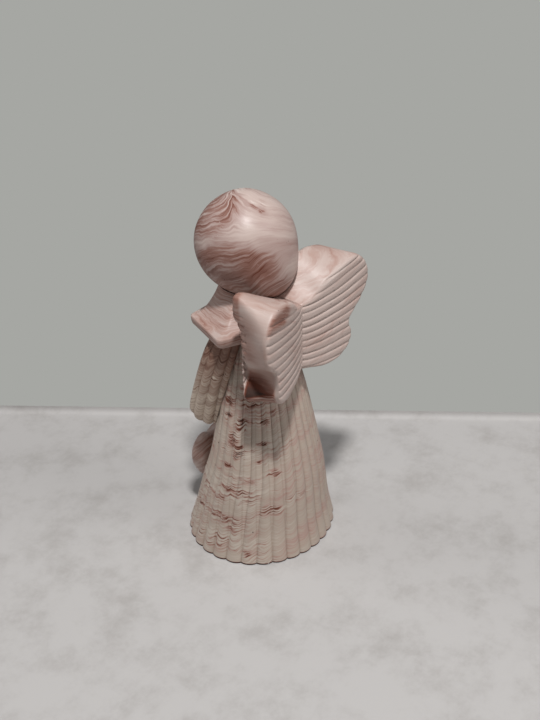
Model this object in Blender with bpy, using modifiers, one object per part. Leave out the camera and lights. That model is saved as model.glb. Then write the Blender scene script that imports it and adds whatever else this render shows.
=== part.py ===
# Angel figurine: a marbled, gowned angel with grooved wings, in separate pieces held by pegs.
# Frame: origin at the centre of the gown's underside, +Z up, the angel looks along -Y, its left is +X.
import math

import bmesh
import bpy
from mathutils import Matrix, Vector
from mathutils.geometry import delaunay_2d_cdt

MM = 0.001
GAP = 0.3
SMALL = 1e-6

# Gown: height, mean radius and backward shift of its sections, with the oval of the plan.
GOWN_RINGS = (
    (0.0, 19.75, 0.0),
    (0.9, 20.0, 0.05),
    (4.0, 19.1, 0.25),
    (8.0, 18.1, 0.5),
    (16.0, 16.6, 1.2),
    (26.0, 14.4, 1.9),
    (34.0, 12.8, 1.8),
    (42.0, 11.2, 1.6),
    (50.0, 9.5, 1.2),
    (56.0, 8.5, 0.8),
    (60.5, 8.0, 0.3),
)
GOWN_RIBS = 30
GOWN_OVAL = 0.04
RIB_DEPTH = 0.7
RIB_SHARE = (0.45, 0.55)
RIB_STEPS = 4
GOWN_ROOM_SIDES = 72
GOWN_ROOM_FIRST = 2

# Head: a ball bowed a little forward of the gown's axis, fuller at the nape.
HEAD_CENTRE = (0.0, -2.9, 82.2)
HEAD_RADIUS = 12.45
HEAD_GAP = 0.4
HEAD_SEGMENTS = 36
HEAD_ROWS = 22
CROWN_RISE = 0.35
CROWN_POWER = 12
NAPE_WAY = (0.0, 0.66, -0.75)
NAPE_RISE = 2.9
NAPE_POWER = 5

# Collar: plan of the rim for the left half, from the middle of the back to the middle of the front.
COLLAR_PLAN = ((0.0, 3.6), (11.5, 4.0), (17.0, 0.3), (9.5, -13.8), (0.0, -13.2))
COLLAR_BASE_Z = 60.8
COLLAR_RIM_LOW_Z = 61.6
COLLAR_RIM_Z = 63.6
COLLAR_NECK_Z = 71.15
COLLAR_NECK_RADIUS = 6.8
COLLAR_BASE_INSET = 1.0
COLLAR_RIM_LOW_INSET = 0.25
COLLAR_RIDGE_INSET = 0.6
COLLAR_HOLLOW = 2.0
COLLAR_STEPS = 6
COLLAR_SIDES = 48

# Wings: plan curves of the back and front faces, the swell of the front, and both faces' outlines.
# The two wings differ a little at the top corner, the waist and the lower lobe, as carved pieces do.
WING_BACK = (13.2, 0.40, -0.0075)
WING_FRONT = (4.3, 0.20, 0.12)
WING_FRONT_BLEND = (70.0, 77.0)
WING_ROUND = 0.8
WING_SWELL = 1.9
WING_SWELL_AT = (16.6, 73.2)
WING_SWELL_REACH = (3.2, 2.6)
WING_BACK_LINE = {
    "left": (
        (0.0, 69.2), (3.5, 70.6), (7.1, 73.6), (12.2, 75.9), (17.4, 77.0), (20.0, 76.0), (22.0, 73.8),
        (22.9, 70.8), (22.8, 67.6), (22.2, 64.6), (20.4, 62.2), (18.7, 60.6), (18.3, 58.2), (17.9, 55.6),
        (17.2, 52.9), (15.6, 50.8), (11.3, 49.9), (6.9, 50.3), (2.8, 51.1), (0.4, 51.5), (0.0, 51.5),
    ),
    "right": (
        (0.0, 69.2), (3.5, 70.6), (7.1, 73.6), (12.2, 75.9), (17.2, 76.9), (20.2, 75.6), (22.5, 73.2),
        (23.6, 70.2), (23.2, 67.4), (21.5, 64.9), (19.0, 62.4), (16.6, 60.3), (16.1, 58.6), (17.0, 56.6),
        (16.9, 54.4), (15.6, 52.0), (12.4, 50.0), (7.4, 49.5), (2.8, 50.6), (0.4, 51.1), (0.0, 51.1),
    ),
}
WING_FRONT_TOP = {
    "left": ((0.0, 69.6), (4.0, 71.1), (8.0, 73.3), (12.0, 75.7), (15.6, 77.8), (18.3, 78.9), (20.2, 78.0)),
    "right": ((0.0, 70.2), (4.0, 74.6), (8.0, 77.8), (11.0, 78.6), (14.2, 78.2), (17.2, 77.2), (19.3, 75.4)),
}
WING_FRONT_REST = (
    (20.1, 72.8), (19.6, 69.0), (19.3, 65.4), (18.9, 62.6), (18.0, 60.4), (17.2, 58.4), (17.0, 56.4),
    (18.6, 54.2), (19.3, 52.2), (17.6, 50.1), (12.4, 49.4), (7.0, 50.0), (2.8, 50.9), (0.0, 51.1),
)
WING_ROUND_SHARE = 0.9
WING_GRID = (3.4, 5.44)
WING_GRID_START = (2.2, 48.0)
WING_GRID_END = (24.0, 80.0)
WING_GRID_CLEAR = 1.2

# Wing grooves: height at the spine of the lowest, pitch, rise per millimetre outward, cut size.
GROOVE_COUNT = 11
GROOVE_LOW_Z = 53.0
GROOVE_PITCH = 1.85
GROOVE_RISE = (0.02, 0.24)
GROOVE_DEPTH = 0.6
GROOVE_HALF_WIDTH = 0.55
GROOVE_OVER = 0.9
GROOVE_SPAN = (-1.0, 5.0, 10.0, 15.0, 20.0, 26.0)

# Sleeves: centre of each section on the left side, radius, and tilt of the section forward.
SLEEVE_RINGS = (
    ((9.3, -2.6, 60.3), 4.2, 0.0),
    ((9.8, -4.3, 55.5), 4.4, -10.0),
    ((9.5, -6.4, 50.0), 4.5, -18.0),
    ((8.7, -8.6, 44.0), 4.7, -22.0),
    ((7.7, -10.6, 38.5), 4.9, -24.0),
    ((7.1, -11.6, 35.2), 4.9, -26.0),
    ((6.9, -11.9, 34.2), 4.1, -26.0),
)
SLEEVE_RIBS = 9
SLEEVE_RIB_DEPTH = 0.55

# Hands: centre of each section on the left side, half thickness and half width.
HAND_RINGS = (
    ((6.6, -11.6, 36.4), 1.7, 1.8),
    ((4.6, -13.4, 36.6), 1.7, 1.9),
    ((2.7, -14.9, 37.4), 1.6, 2.1),
    ((1.65, -15.5, 39.0), 1.45, 2.2),
    ((1.4, -15.4, 41.4), 1.2, 2.0),
    ((1.1, -15.1, 43.6), 0.9, 1.6),
    ((0.75, -14.9, 44.8), 0.5, 0.8),
)
HAND_SIDES = 14

# Heart: half outline from the notch down to the point, centre, thickness and lean.
HEART_LINE = (
    (0.0, 5.0), (1.1, 6.6), (3.0, 7.9), (5.1, 7.6), (6.6, 5.8), (7.1, 3.2), (6.6, 0.0), (5.1, -3.4),
    (2.8, -6.8), (0.9, -8.8), (0.0, -9.2),
)
HEART_CENTRE = (0.0, -16.8, 16.3)
HEART_LEAN = 15.0
HEART_SECTIONS = ((-3.1, 0.62), (-2.5, 0.84), (-1.4, 0.96), (0.0, 1.0), (1.4, 0.96), (2.5, 0.84), (3.1, 0.62))

# Pegs: radius, and both ends of each pin.
PEG_SIDES = 20
PEG_EASE = 0.35
SHARP_ANGLE = 40.0
NECK_PEG = (2.5, (0.0, -2.6, 53.0), (0.0, -2.6, 78.5))
WING_PEG = (1.6, (4.6, 2.6, 56.4), (4.6, 11.6, 56.4))
SLEEVE_PEG = (1.2, (4.9, -2.0, 50.6), (9.6, -5.9, 50.6))
HEART_PEG = (1.4, (0.0, -10.5, 17.6), (0.0, -18.4, 17.6))

# Finishes: colour and roughness of each kind of piece.
FINISHES = {
    "gown": ((0.52, 0.42, 0.36), 0.5),
    "head": ((0.56, 0.42, 0.37), 0.4),
    "collar": ((0.55, 0.36, 0.32), 0.45),
    "wing": ((0.58, 0.42, 0.38), 0.45),
    "sleeve": ((0.47, 0.38, 0.33), 0.55),
    "hand": ((0.55, 0.42, 0.37), 0.45),
    "heart": ((0.46, 0.29, 0.26), 0.45),
    "peg": ((0.55, 0.38, 0.22), 0.6),
}

for old in list(bpy.data.objects):
    bpy.data.objects.remove(old, do_unlink=True)

parts = bpy.data.collections.new("angel_figurine")
cutters = bpy.data.collections.new("cutters")
bpy.context.scene.collection.children.link(parts)
bpy.context.scene.collection.children.link(cutters)


def dress(piece, kind):
    colour, roughness = FINISHES[kind]
    made = bpy.data.materials.new(piece.name + "_finish")
    made.use_nodes = True
    shader = made.node_tree.nodes["Principled BSDF"]
    shader.inputs["Base Color"].default_value = (*colour, 1.0)
    shader.inputs["Roughness"].default_value = roughness
    shader.inputs["Metallic"].default_value = 0.0
    made.diffuse_color = (*colour, 1.0)
    piece.data.materials.append(made)


def finish(name, bm, where, smooth=True):
    bmesh.ops.recalc_face_normals(bm, faces=bm.faces)
    for face in bm.faces:
        face.smooth = smooth
    for vert in bm.verts:
        vert.co = vert.co * MM
    mesh = bpy.data.meshes.new(name)
    bm.to_mesh(mesh)
    bm.free()
    piece = bpy.data.objects.new(name, mesh)
    where.objects.link(piece)
    if where is cutters:
        piece.hide_render = True
        piece.display_type = "WIRE"
    return piece


def loft(name, rings, where, smooth=True):
    bm = bmesh.new()
    rows = [[bm.verts.new(point) for point in ring] for ring in rings]
    count = len(rows[0])
    for low, high in zip(rows[:-1], rows[1:]):
        for i in range(count):
            j = (i + 1) % count
            bm.faces.new((low[i], low[j], high[j], high[i]))
    for row in (rows[0], rows[-1]):
        middle = bm.verts.new(sum((v.co for v in row), Vector()) / count)
        for i in range(count):
            bm.faces.new((row[i], row[(i + 1) % count], middle))
    return finish(name, bm, where, smooth)


def peg(name, radius, low, high, where, grow=0.0):
    low = Vector(low) * MM
    high = Vector(high) * MM
    along = high - low
    bm = bmesh.new()
    bmesh.ops.create_cone(
        bm,
        cap_ends=True,
        segments=PEG_SIDES,
        radius1=radius + grow,
        radius2=radius + grow,
        depth=along.length / MM + 2.0 * grow,
    )
    piece = finish(name, bm, where)
    piece.data.set_sharp_from_angle(angle=math.radians(SHARP_ANGLE))
    piece.location = (low + high) / 2.0
    piece.rotation_mode = "QUATERNION"
    piece.rotation_quaternion = along.to_track_quat("Z", "Y")
    ends = piece.modifiers.new("eased_ends", "BEVEL")
    ends.width = PEG_EASE * MM
    ends.segments = 1
    ends.limit_method = "ANGLE"
    return piece


def cut(piece, *tools):
    for tool in tools:
        step = piece.modifiers.new("cut_" + tool.name, "BOOLEAN")
        step.operation = "DIFFERENCE"
        step.solver = "EXACT"
        step.object = tool


def on_side(pin, side):
    radius, low, high = pin
    return radius, (side * low[0], low[1], low[2]), (side * high[0], high[1], high[2])


# Gown: a loft of scalloped sections that lean back a little above the hem.
def gown_ring(z, radius, shift, count, depth):
    ring = []
    for i in range(count):
        a = 2.0 * math.pi * i / count
        scallop = depth * (1.0 - abs(math.cos(0.5 * GOWN_RIBS * a)))
        oval = 1.0 + GOWN_OVAL * math.cos(2.0 * a)
        r = radius * oval - scallop
        ring.append((r * math.cos(a), shift + r * math.sin(a), z))
    return ring


gown_rings = []
widest = max(r for z, r, y in GOWN_RINGS)
for z, r, y in GOWN_RINGS:
    depth = RIB_DEPTH * (RIB_SHARE[0] + RIB_SHARE[1] * r / widest)
    gown_rings.append(gown_ring(z, r, y, GOWN_RIBS * RIB_STEPS, depth))
gown = loft("gown", gown_rings, parts)
dress(gown, "gown")

top_z, top_r, top_y = GOWN_RINGS[-1]
room_rings = [gown_ring(z, r + GAP, y, GOWN_ROOM_SIDES, 0.0) for z, r, y in GOWN_RINGS[GOWN_ROOM_FIRST:]]
room_rings.append(gown_ring(top_z + GAP, top_r + GAP, top_y, GOWN_ROOM_SIDES, 0.0))
gown_room = loft("gown_room", room_rings, cutters)


# Head: a ball with a soft rise at the crown and a fuller nape.
def ball(name, radius, rise, where):
    bm = bmesh.new()
    bmesh.ops.create_uvsphere(bm, u_segments=HEAD_SEGMENTS, v_segments=HEAD_ROWS, radius=radius)
    nape = Vector(NAPE_WAY).normalized()
    for vert in bm.verts:
        way = vert.co.normalized()
        vert.co += way * NAPE_RISE * max(0.0, way.dot(nape)) ** NAPE_POWER
        vert.co.z += rise * max(0.0, way.z) ** CROWN_POWER
        vert.co += Vector(HEAD_CENTRE)
    return finish(name, bm, where)


head = ball("head", HEAD_RADIUS, CROWN_RISE, parts)
head_room = ball("head_room", HEAD_RADIUS + HEAD_GAP, 0.0, cutters)
dress(head, "head")


# Collar: a loft from the pointed rim up to the round neck, hollowed on the way.
def collar_plan():
    half = [Vector(p) for p in COLLAR_PLAN]
    loop = half + [Vector((-p.x, p.y)) for p in reversed(half[1:-1])]
    centre = Vector((HEAD_CENTRE[0], HEAD_CENTRE[1]))
    points = []
    for i in range(COLLAR_SIDES):
        a = math.pi / 2.0 - 2.0 * math.pi * i / COLLAR_SIDES
        ray = Vector((math.cos(a), math.sin(a)))
        reach = 0.0
        for p, q in zip(loop, loop[1:] + loop[:1]):
            edge = q - p
            det = ray.x * -edge.y + ray.y * edge.x
            if abs(det) < SMALL:
                continue
            d = p - centre
            t = (d.x * -edge.y + d.y * edge.x) / det
            u = (ray.x * d.y - ray.y * d.x) / det
            if t > 0.0 and -SMALL <= u <= 1.0 + SMALL:
                reach = max(reach, t)
        points.append((ray, reach))
    corners = [p for p in loop if abs(p.x) > SMALL]
    for corner in corners:
        d = corner - centre
        a = math.atan2(d.y, d.x)
        near = min(
            range(COLLAR_SIDES),
            key=lambda i: abs(math.remainder(math.atan2(points[i][0].y, points[i][0].x) - a, 2.0 * math.pi)),
        )
        points[near] = (d.normalized(), d.length)
    return centre, points


collar_centre, collar_points = collar_plan()


def collar_ring(blend, inset, z):
    ring = []
    for ray, reach in collar_points:
        r = (reach - inset) * (1.0 - blend) + COLLAR_NECK_RADIUS * blend
        ring.append((collar_centre.x + ray.x * r, collar_centre.y + ray.y * r, z))
    return ring


collar_rings = [
    collar_ring(0.0, COLLAR_BASE_INSET, COLLAR_BASE_Z),
    collar_ring(0.0, COLLAR_RIM_LOW_INSET, COLLAR_RIM_LOW_Z),
    collar_ring(0.0, 0.0, COLLAR_RIM_Z),
]
for step in range(1, COLLAR_STEPS + 1):
    t = step / COLLAR_STEPS
    lift = COLLAR_RIM_Z + (COLLAR_NECK_Z - COLLAR_RIM_Z) * t ** COLLAR_HOLLOW
    collar_rings.append(collar_ring(t, COLLAR_RIDGE_INSET * (1.0 - t), lift))
collar = loft("collar", collar_rings, parts)
dress(collar, "collar")


# Wings: a thick plate between unlike back and front outlines, both faces bent along the plan curve.
def wing_back_y(s):
    return WING_BACK[0] + WING_BACK[1] * s + WING_BACK[2] * s * s


def wing_front_y(s, z):
    share = (z - WING_FRONT_BLEND[0]) / (WING_FRONT_BLEND[1] - WING_FRONT_BLEND[0])
    share = max(0.0, min(1.0, share))
    across = (s - WING_SWELL_AT[0]) / WING_SWELL_REACH[0]
    up = (z - WING_SWELL_AT[1]) / WING_SWELL_REACH[1]
    swell = WING_SWELL * math.exp(-across * across - up * up)
    return WING_FRONT[0] + s * (WING_FRONT[1] + (WING_FRONT[2] - WING_FRONT[1]) * share) - swell


def wing_y(s, z, front, depth):
    return wing_front_y(s, z) + depth if front else wing_back_y(s) - depth


def inset_line(line, amount):
    points = [Vector(p) for p in line]
    moved = []
    for i, point in enumerate(points):
        before = points[max(i - 1, 0)]
        after = points[min(i + 1, len(points) - 1)]
        side = (after - before).normalized()
        inward = Vector((side.y, -side.x))
        if i in (0, len(points) - 1):
            inward = Vector((0.0, -1.0 if i == 0 else 1.0))
        moved.append(point + inward * amount)
    return moved


def grid_inside(flat, edges):
    kept = []
    s = WING_GRID_START[0]
    while s < WING_GRID_END[0]:
        z = WING_GRID_START[1]
        while z < WING_GRID_END[1]:
            spot = Vector((s, z))
            inside = False
            clear = math.inf
            for a, b in edges:
                p = flat[a]
                q = flat[b]
                if (p.y > z) != (q.y > z) and s < (q.x - p.x) * (z - p.y) / (q.y - p.y) + p.x:
                    inside = not inside
                t = max(0.0, min(1.0, (spot - p).dot(q - p) / (q - p).length_squared))
                clear = min(clear, (p + (q - p) * t - spot).length)
            if inside and clear > WING_GRID_CLEAR:
                kept.append(spot)
            z += WING_GRID[1]
        s += WING_GRID[0]
    return kept


def wing(name, side, back_line, front_line):
    first = 0.5 * GAP
    rows = (
        (back_line, WING_ROUND * WING_ROUND_SHARE, False, 0.0),
        (back_line, 0.0, False, WING_ROUND),
        (front_line, 0.0, True, WING_ROUND),
        (front_line, WING_ROUND * WING_ROUND_SHARE, True, 0.0),
    )
    bm = bmesh.new()
    loops = []
    for line, amount, front, depth in rows:
        loop = []
        for p in inset_line(line, amount):
            s = max(p.x, first)
            loop.append(bm.verts.new((side * s, wing_y(s, p.y, front, depth), p.y)))
        loops.append(loop)
    count = len(loops[0])
    for low, high in zip(loops[:-1], loops[1:]):
        for i in range(count):
            j = (i + 1) % count
            bm.faces.new((low[i], low[j], high[j], high[i]))
    for loop, front in ((loops[0], False), (loops[-1], True)):
        flat = [Vector((abs(v.co.x), v.co.z)) for v in loop]
        edges = [(i, (i + 1) % count) for i in range(count)]
        found = delaunay_2d_cdt(flat + grid_inside(flat, edges), edges, [], 1, SMALL)
        source = {}
        for new, olds in enumerate(found[3]):
            if olds and olds[0] < count:
                source[new] = loop[olds[0]]
        for new, point in enumerate(found[0]):
            if new not in source:
                source[new] = bm.verts.new((side * point.x, wing_y(point.x, point.y, front, 0.0), point.y))
        for face in found[2]:
            bm.faces.new([source[i] for i in face])
    blade = finish(name, bm, parts)
    blade.data.set_sharp_from_angle(angle=math.radians(SHARP_ANGLE))
    return blade


def wing_grooves(name, side):
    bm = bmesh.new()
    for front, outward in ((False, 1.0), (True, -1.0)):
        for k in range(GROOVE_COUNT):
            share = k / (GROOVE_COUNT - 1)
            rise = GROOVE_RISE[0] + (GROOVE_RISE[1] - GROOVE_RISE[0]) * share
            rows = []
            for s in GROOVE_SPAN:
                z = GROOVE_LOW_Z + GROOVE_PITCH * k + rise * s
                y = wing_y(s, z, front, 0.0)
                wide = GROOVE_HALF_WIDTH * (1.0 + GROOVE_OVER / GROOVE_DEPTH)
                rows.append((
                    bm.verts.new((side * s, y - outward * GROOVE_DEPTH, z)),
                    bm.verts.new((side * s, y + outward * GROOVE_OVER, z + wide)),
                    bm.verts.new((side * s, y + outward * GROOVE_OVER, z - wide)),
                ))
            for low, high in zip(rows[:-1], rows[1:]):
                for i in range(len(low)):
                    j = (i + 1) % len(low)
                    bm.faces.new((low[i], low[j], high[j], high[i]))
            bm.faces.new(rows[0])
            bm.faces.new(rows[-1])
    return finish(name, bm, cutters, smooth=False)


# Sleeves: ribbed lofts that droop forward, cut to lie on the gown.
def sleeve(name, side):
    rings = []
    for centre, radius, tilt in SLEEVE_RINGS:
        ring = []
        turn = Matrix.Rotation(math.radians(tilt), 3, "X")
        count = SLEEVE_RIBS * RIB_STEPS
        for i in range(count):
            a = 2.0 * math.pi * i / count
            r = radius - SLEEVE_RIB_DEPTH * (1.0 - abs(math.cos(0.5 * SLEEVE_RIBS * a)))
            drop = turn @ Vector((r * math.cos(a), r * math.sin(a), 0.0))
            ring.append((side * (centre[0] + drop.x), centre[1] + drop.y, centre[2] + drop.z))
        rings.append(ring)
    return loft(name, rings, parts)


# Hands: mittens lofted from a wrist inside the cuff to the raised fingertips, palm to palm.
def hand(name, side, where, grow=0.0):
    points = [Vector(centre) for centre, thick, wide in HAND_RINGS]
    points[0] += (points[0] - points[1]).normalized() * grow
    points[-1] += (points[-1] - points[-2]).normalized() * grow
    rings = []
    for n, (centre, thick, wide) in enumerate(HAND_RINGS):
        along = (points[min(n + 1, len(points) - 1)] - points[max(n - 1, 0)]).normalized()
        across = (Vector((0.0, 1.0, 0.0)) - along * along.y).normalized()
        through = across.cross(along)
        ring = []
        for i in range(HAND_SIDES):
            a = 2.0 * math.pi * i / HAND_SIDES
            spot = points[n] + through * (thick + grow) * math.cos(a) + across * (wide + grow) * math.sin(a)
            ring.append((side * spot.x, spot.y, spot.z))
        rings.append(ring)
    return loft(name, rings, where)


for prefix, side in (("left", 1.0), ("right", -1.0)):
    front_line = WING_FRONT_TOP[prefix] + WING_FRONT_REST
    blade = wing(prefix + "_wing", side, WING_BACK_LINE[prefix], front_line)
    grooves = wing_grooves(prefix + "_wing_grooves", side)
    wing_hole = peg(prefix + "_wing_hole", *on_side(WING_PEG, side), cutters, GAP)
    cut(blade, gown_room, head_room, grooves, wing_hole)
    dress(blade, "wing")
    dress(peg(prefix + "_wing_peg", *on_side(WING_PEG, side), parts), "peg")

    arm = sleeve(prefix + "_sleeve", side)
    arm_hole = peg(prefix + "_sleeve_hole", *on_side(SLEEVE_PEG, side), cutters, GAP)
    wrist_hole = hand(prefix + "_wrist_hole", side, cutters, GAP)
    cut(arm, gown_room, arm_hole, wrist_hole)
    dress(arm, "sleeve")
    dress(peg(prefix + "_sleeve_peg", *on_side(SLEEVE_PEG, side), parts), "peg")

    mitten = hand(prefix + "_hand", side, parts)
    cut(mitten, gown_room)
    dress(mitten, "hand")
    cut(gown, wing_hole, arm_hole)


# Heart: a pillow-shaped loft of one heart outline, cut to lie on the gown's front.
def heart_rings():
    half = list(HEART_LINE)
    outline = half + [(-x, z) for x, z in reversed(half[1:-1])]
    lean = Matrix.Rotation(math.radians(-HEART_LEAN), 3, "X")
    centre = Vector(HEART_CENTRE)
    rings = []
    for depth, scale in HEART_SECTIONS:
        rings.append([centre + lean @ Vector((x * scale, depth, z * scale)) for x, z in outline])
    return rings


heart = loft("heart", heart_rings(), parts)
heart_hole = peg("heart_hole", *HEART_PEG, cutters, GAP)
cut(heart, gown_room, heart_hole)
dress(heart, "heart")
dress(peg("heart_peg", *HEART_PEG, parts), "peg")

neck_hole = peg("neck_hole", *NECK_PEG, cutters, GAP)
cut(gown, neck_hole, heart_hole)
cut(collar, head_room, neck_hole)
cut(head, neck_hole)
dress(peg("neck_peg", *NECK_PEG, parts), "peg")
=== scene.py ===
import math

import bmesh
import bpy
from mathutils import Matrix, Vector, noise


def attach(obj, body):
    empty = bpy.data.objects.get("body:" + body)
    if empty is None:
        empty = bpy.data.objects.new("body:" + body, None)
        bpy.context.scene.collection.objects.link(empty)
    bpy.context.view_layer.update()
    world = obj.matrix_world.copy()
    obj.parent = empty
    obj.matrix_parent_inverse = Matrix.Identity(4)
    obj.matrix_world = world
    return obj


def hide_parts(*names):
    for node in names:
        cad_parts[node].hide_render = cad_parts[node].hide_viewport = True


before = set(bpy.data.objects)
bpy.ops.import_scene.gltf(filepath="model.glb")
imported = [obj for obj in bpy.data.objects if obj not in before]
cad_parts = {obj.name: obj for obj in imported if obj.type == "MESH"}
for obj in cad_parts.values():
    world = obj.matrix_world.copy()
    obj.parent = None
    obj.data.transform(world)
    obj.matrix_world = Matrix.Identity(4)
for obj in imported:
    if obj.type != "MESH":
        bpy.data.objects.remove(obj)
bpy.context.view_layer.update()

# Gown: the angel's body and floor-length skirt, one flaring column of thirty rounded flutes.
# It is cast in marbled stone paste and its flutes are carved by hand, so they wander a little.
# It stands on its flat underside, and pegs round its sides and in its top hold the other pieces.
MM = 0.001
GOWN_HEIGHT = 60.5
# Height, radius and shift to the back.
GOWN_SECTIONS = (
    (0.0, 20.2, 0.0), (4.0, 19.1, 0.25), (8.0, 18.1, 0.5), (16.0, 16.6, 1.2), (26.0, 14.4, 1.9),
    (34.0, 12.8, 1.8), (42.0, 11.2, 1.6), (50.0, 9.5, 1.2), (56.0, 8.5, 0.8), (60.5, 8.0, 0.3),
)
GOWN_OVAL = 0.04
GOWN_AROUND = 720
GOWN_UP = 110
GOWN_ROW_POWER = 1.25
FLUTE_LEAST = 0.45
CREASE_POWER = 5.0
WANDER_GRAIN = (3.2, 1.6)
PRESS_GRAIN = (5.0, 4.0)
GOWN_INPUTS = {
    "Flutes": 30.0,
    "Flute depth": 0.45,
    "Groove depth": 0.2,
    "Oval": GOWN_OVAL,
    "Hem round": 0.5,
    "Wander": 0.012,
    "Unevenness": 0.45,
}
SHARP_EDGE = math.radians(50.0)


class Flow:
    """A socket of a node tree: arithmetic on it adds Math nodes, and add() adds any other node."""

    def __init__(self, tree, socket=None):
        self.tree = tree
        self.socket = socket

    def add(self, kind, settings=None, sockets=None, out=0):
        node = self.tree.nodes.new(kind)
        for key, value in (settings or {}).items():
            setattr(node, key, value)
        for key, value in (sockets or {}).items():
            if isinstance(value, Flow):
                self.tree.links.new(value.socket, node.inputs[key])
            else:
                node.inputs[key].default_value = value
        return Flow(self.tree, node.outputs[out])

    def math(self, operation, first, second=0.0):
        return self.add("ShaderNodeMath", {"operation": operation}, {0: first, 1: second})

    def __add__(self, other):
        return self.math("ADD", self, other)

    def __radd__(self, other):
        return self.math("ADD", other, self)

    def __sub__(self, other):
        return self.math("SUBTRACT", self, other)

    def __rsub__(self, other):
        return self.math("SUBTRACT", other, self)

    def __mul__(self, other):
        return self.math("MULTIPLY", self, other)

    def __rmul__(self, other):
        return self.math("MULTIPLY", other, self)

    def __truediv__(self, other):
        return self.math("DIVIDE", self, other)

    def __pow__(self, other):
        return self.math("POWER", self, other)

    def __abs__(self):
        return self.math("ABSOLUTE", self)

    def at_least(self, other):
        return self.math("MAXIMUM", self, other)

    def at_most(self, other):
        return self.math("MINIMUM", self, other)

    def step(self, low, high):
        """Eases from 0 at low to 1 at high; low may be the greater one."""
        sockets = {"Value": self, "From Min": low, "From Max": high}
        return self.add("ShaderNodeMapRange", {"interpolation_type": "SMOOTHSTEP"}, sockets)

    def split(self):
        return [self.add("ShaderNodeSeparateXYZ", None, {0: self}, axis) for axis in range(3)]

    def join(self, x, y, z):
        return self.add("ShaderNodeCombineXYZ", None, {0: x, 1: y, 2: z})

    def scaled(self, scale):
        return self.add("ShaderNodeVectorMath", {"operation": "SCALE"}, {0: self, "Scale": scale})

    def cloud(self, spot, scale, detail=2.0, rough=0.5):
        """Soft noise around 0.5 at a place."""
        sockets = {"Vector": spot, "Scale": scale, "Detail": detail, "Roughness": rough}
        return self.add("ShaderNodeTexNoise", None, sockets)

    def grain(self, x, y, z, across, along, detail=1.0):
        """Noise with one fineness across the first two ways and another along the third."""
        return self.cloud(self.join(x * across, y * across, z * along), 1.0, detail)

    def mix(self, share, first, second):
        return self.add("ShaderNodeMix", {"data_type": "RGBA"}, {0: share, 6: first, 7: second}, 2)

    def into(self, socket):
        self.tree.links.new(self.socket, socket)


def node_tree(name, inputs, takes_mesh):
    """A Geometry Nodes tree with named number inputs; gives the tree, its inputs and its output node."""
    tree = bpy.data.node_groups.new(name, "GeometryNodeTree")
    tree.interface.new_socket("Geometry", in_out="OUTPUT", socket_type="NodeSocketGeometry")
    if takes_mesh:
        tree.interface.new_socket("Geometry", in_out="INPUT", socket_type="NodeSocketGeometry")
    for label in inputs:
        tree.interface.new_socket(label, in_out="INPUT", socket_type="NodeSocketFloat")
    tree.interface.new_socket("Material", in_out="INPUT", socket_type="NodeSocketMaterial")
    given = tree.nodes.new("NodeGroupInput")
    asked = {socket.name: Flow(tree, socket) for socket in given.outputs if socket.name}
    return tree, asked, tree.nodes.new("NodeGroupOutput")


def grown(piece, tree, inputs, material):
    """Runs a tree on a piece and leaves the result as the piece's own plain mesh."""
    modifier = piece.modifiers.new(tree.name, "NODES")
    modifier.node_group = tree
    values = dict(inputs, Material=material)
    for item in tree.interface.items_tree:
        if item.in_out == "INPUT" and item.name in values:
            modifier[item.identifier] = values[item.name]
    return flattened(piece)


def flattened(piece):
    """Turns a piece's live modifiers into its plain mesh."""
    seen = piece.evaluated_get(bpy.context.evaluated_depsgraph_get())
    mesh = bpy.data.meshes.new_from_object(seen)
    mesh.name = piece.name
    piece.modifiers.clear()
    old = piece.data
    piece.data = mesh
    bpy.data.meshes.remove(old)
    return piece


def placed(name, data):
    """A new object in the scene, at the origin."""
    piece = bpy.data.objects.new(name, data)
    bpy.context.scene.collection.objects.link(piece)
    return piece


def new_piece(name, bm=None):
    """An object at the origin; a bmesh given in millimetres becomes its mesh in metres."""
    mesh = bpy.data.meshes.new(name)
    if bm is not None:
        bmesh.ops.recalc_face_normals(bm, faces=bm.faces)
        if bm.calc_volume(signed=True) < 0.0:
            bmesh.ops.reverse_faces(bm, faces=bm.faces)
        bmesh.ops.scale(bm, vec=(MM, MM, MM), verts=bm.verts)
        for face in bm.faces:
            face.smooth = True
        bm.to_mesh(mesh)
        bm.free()
    return placed(name, mesh)


def trace(flow, points, across, up):
    """Draws a Float Curve node through points, scaled to its unit square."""
    mapping = flow.socket.node.mapping
    curve = mapping.curves[0]
    for _ in points[2:]:
        curve.points.new(0.5, 0.5)
    for knot, (along, height) in zip(curve.points, points):
        knot.location = (along / across, height / up)
        knot.handle_type = "AUTO"
    mapping.update()
    return flow * up


def finished(shaped, mark, value, material, end):
    """Ends a tree with a mark for the material to read, smooth shading, plain faces and the material."""
    marked = shaped.add(
        "GeometryNodeStoreNamedAttribute",
        {"data_type": "FLOAT", "domain": "POINT"},
        {"Geometry": shaped, "Name": mark, "Value": value},
    )
    smooth = marked.add("GeometryNodeSetShadeSmooth", None, {0: marked})
    whole = smooth.add("GeometryNodeRealizeInstances", None, {0: smooth})
    dressed = whole.add("GeometryNodeSetMaterial", None, {"Geometry": whole, "Material": material})
    dressed.into(end.inputs[0])


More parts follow.
